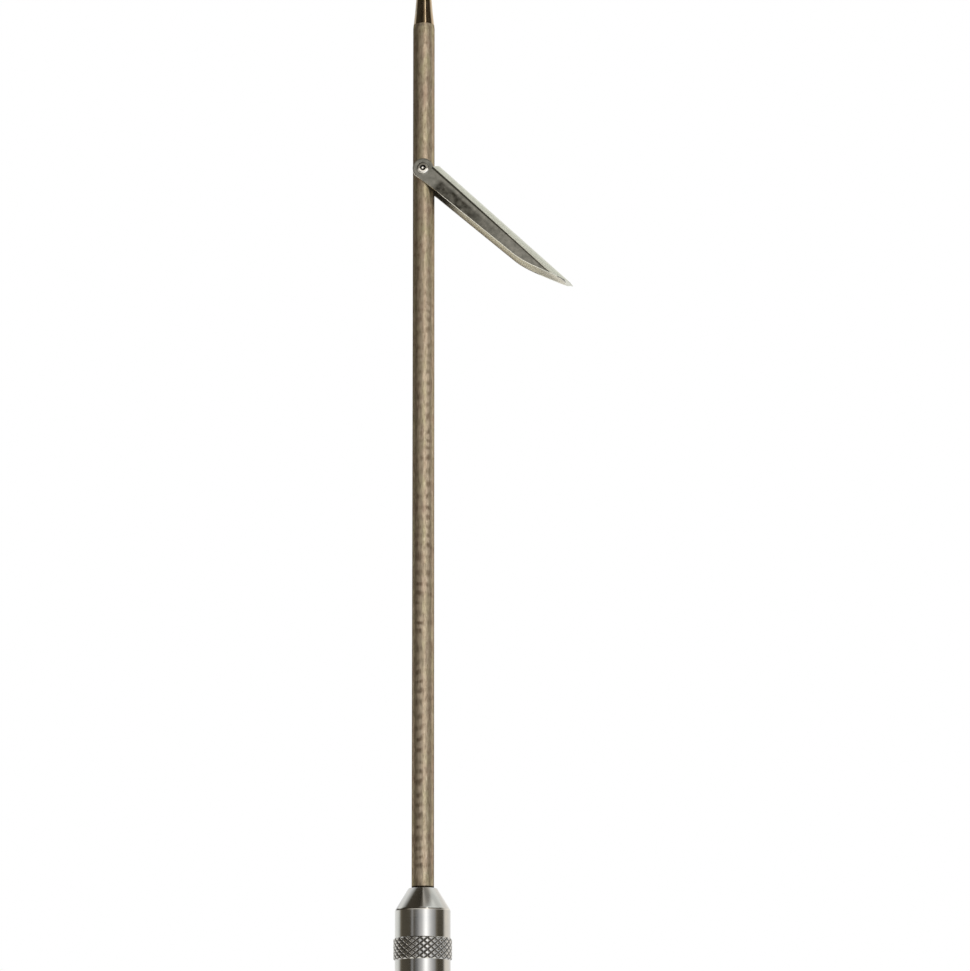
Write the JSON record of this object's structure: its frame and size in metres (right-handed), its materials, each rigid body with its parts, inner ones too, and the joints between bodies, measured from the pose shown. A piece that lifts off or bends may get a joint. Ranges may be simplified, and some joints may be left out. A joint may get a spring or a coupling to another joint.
{
  "type": "pole spear",
  "caption": "Take-down pole spear with a screw-on point, a steel shaft with a folding barb, a knurled adapter and a screwed tube pole with a sling hole in its butt.",
  "frame": {"origin": "centre of the flat end of the butt plug", "axes": "+Z along the pole, from the butt to the point; +X to the side on which the barb opens; the rivet lies along Y"},
  "size_m": [0.065, 0.0206, 1.2195],
  "materials": {
    "point_steel": "polished, heat-darkened steel",
    "shaft_steel": "matt bronze-brown heat-treated steel, mottled",
    "barb_steel": "bare bent stainless sheet, lightly marked",
    "rivet_steel": "bare steel, worn bright on its rim",
    "turned_steel": "turned and polished stainless steel",
    "tube_aluminium": "satin clear anodised",
    "pin_steel": "bare spring steel",
    "seal_rubber": "soft black rubber",
    "butt_plastic": "turned black acetal",
    "bush_steel": "polished stainless steel"
  },
  "bodies": {
    "rear_section": {"rear_tube": "tube_aluminium", "rear_tube_socket": "turned_steel", "rear_tube_pins": "pin_steel", "rear_tube_seals": "seal_rubber", "butt_plug": "butt_plastic", "sling_bush": "bush_steel"},
    "coupling_ring": {"coupling_o_ring": "seal_rubber"},
    "front_section": {"front_tube": "tube_aluminium", "front_tube_socket": "turned_steel", "front_tube_stud": "turned_steel", "front_tube_pins": "pin_steel", "front_tube_seals": "seal_rubber"},
    "adapter_ring": {"adapter_o_ring": "seal_rubber"},
    "spear_head": {"shaft_adapter": "turned_steel", "front_shaft": "shaft_steel", "spear_point": "point_steel", "barb_rivet": "rivet_steel"},
    "barb": {"flopper_barb": "barb_steel"}
  },
  "joints": [
    {"name": "coupling_travel", "type": "slide", "parent": "rear_section", "child": "coupling_ring", "axis": [0, 0, 1], "range_m": [0, 0.014]},
    {"name": "coupling_turn", "type": "hinge", "parent": "coupling_ring", "child": "front_section", "pos_m": [0, 0, 0.426], "axis": [0, 0, 1], "range_deg": [0, 2880]},
    {"name": "adapter_travel", "type": "slide", "parent": "front_section", "child": "adapter_ring", "axis": [0, 0, 1], "range_m": [0, 0.014]},
    {"name": "adapter_turn", "type": "hinge", "parent": "adapter_ring", "child": "spear_head", "pos_m": [0, 0, 0.818], "axis": [0, 0, 1], "range_deg": [0, 2880]},
    {"name": "barb_pivot", "type": "hinge", "parent": "spear_head", "child": "barb", "pos_m": [0, 0, 1.1279], "axis": [0, -1, 0], "range_deg": [-46.8, 27]}
  ],
  "couplings": [
    {"joint": "coupling_turn", "follows": "coupling_travel", "rad_per_m": 3590.4},
    {"joint": "adapter_turn", "follows": "adapter_travel", "rad_per_m": 3590.4}
  ]
}
